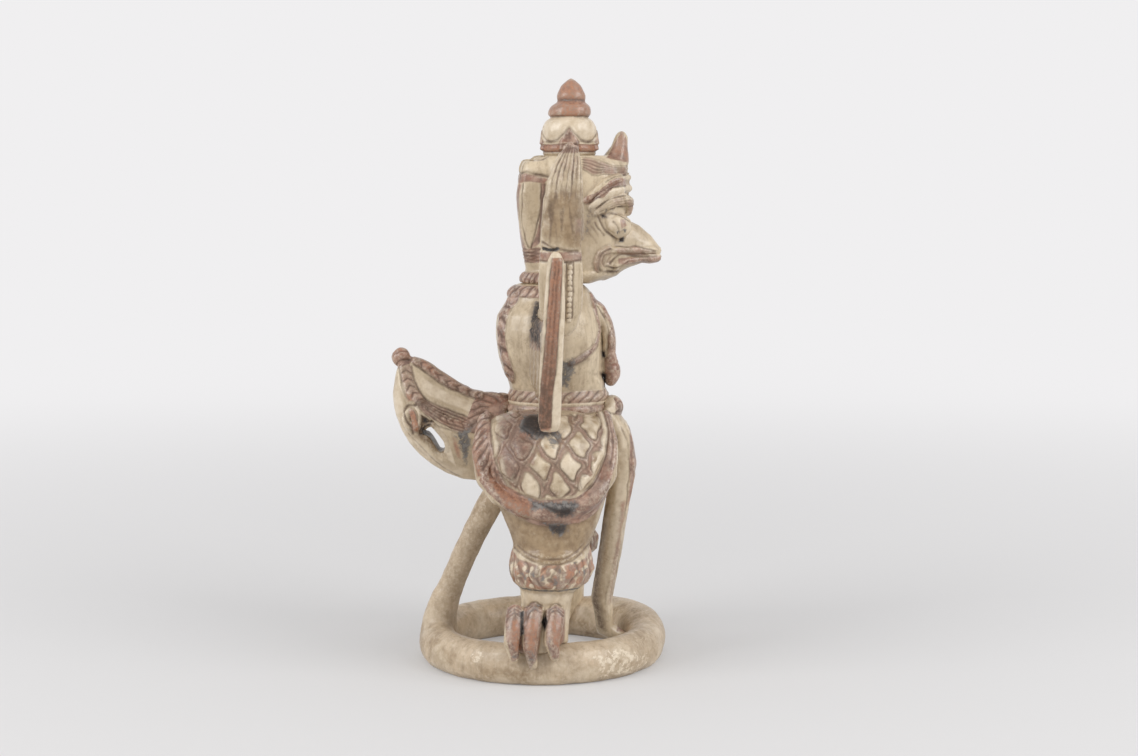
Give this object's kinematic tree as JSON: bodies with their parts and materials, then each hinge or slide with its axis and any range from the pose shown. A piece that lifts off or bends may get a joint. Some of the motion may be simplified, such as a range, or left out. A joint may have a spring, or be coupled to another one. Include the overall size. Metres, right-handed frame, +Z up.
{
  "type": "garuda figurine",
  "caption": "Carved and painted wooden garuda with raised hands, hanging wings and a prow-shaped tail, pegged from separate blocks and standing on the ring of a coiled naga.",
  "frame": {"origin": "middle of the figure's box, on the surface that the ring stands on", "axes": "+Z up, +X the way the beak points, -Y the figure's right hand"},
  "size_m": [0.1078, 0.1072, 0.23],
  "materials": {
    "bone_paint": "worn cream paint on wood, satin",
    "brown_paint": "worn red-brown paint on wood, satin",
    "earth_paint": "rubbed beige-brown paint on wood, dull",
    "dowel_wood": "bare wood"
  },
  "bodies": {
    "root": {"naga_base": "earth_paint", "torso": "bone_paint", "head": "bone_paint", "crown": "brown_paint", "tail": "bone_paint", "sash": "bone_paint", "right_leg": "bone_paint", "left_leg": "bone_paint", "right_arm": "bone_paint", "left_arm": "bone_paint", "right_wing": "brown_paint", "left_wing": "brown_paint", "neck_dowel": "dowel_wood", "crown_dowel": "dowel_wood", "tail_dowel": "dowel_wood", "sash_dowel": "dowel_wood", "naga_dowel": "dowel_wood", "right_hip_dowel": "dowel_wood", "left_hip_dowel": "dowel_wood", "right_foot_dowel": "dowel_wood", "left_foot_dowel": "dowel_wood", "right_shoulder_dowel": "dowel_wood", "left_shoulder_dowel": "dowel_wood", "right_wing_dowel": "dowel_wood", "left_wing_dowel": "dowel_wood"}
  },
  "joints": []
}
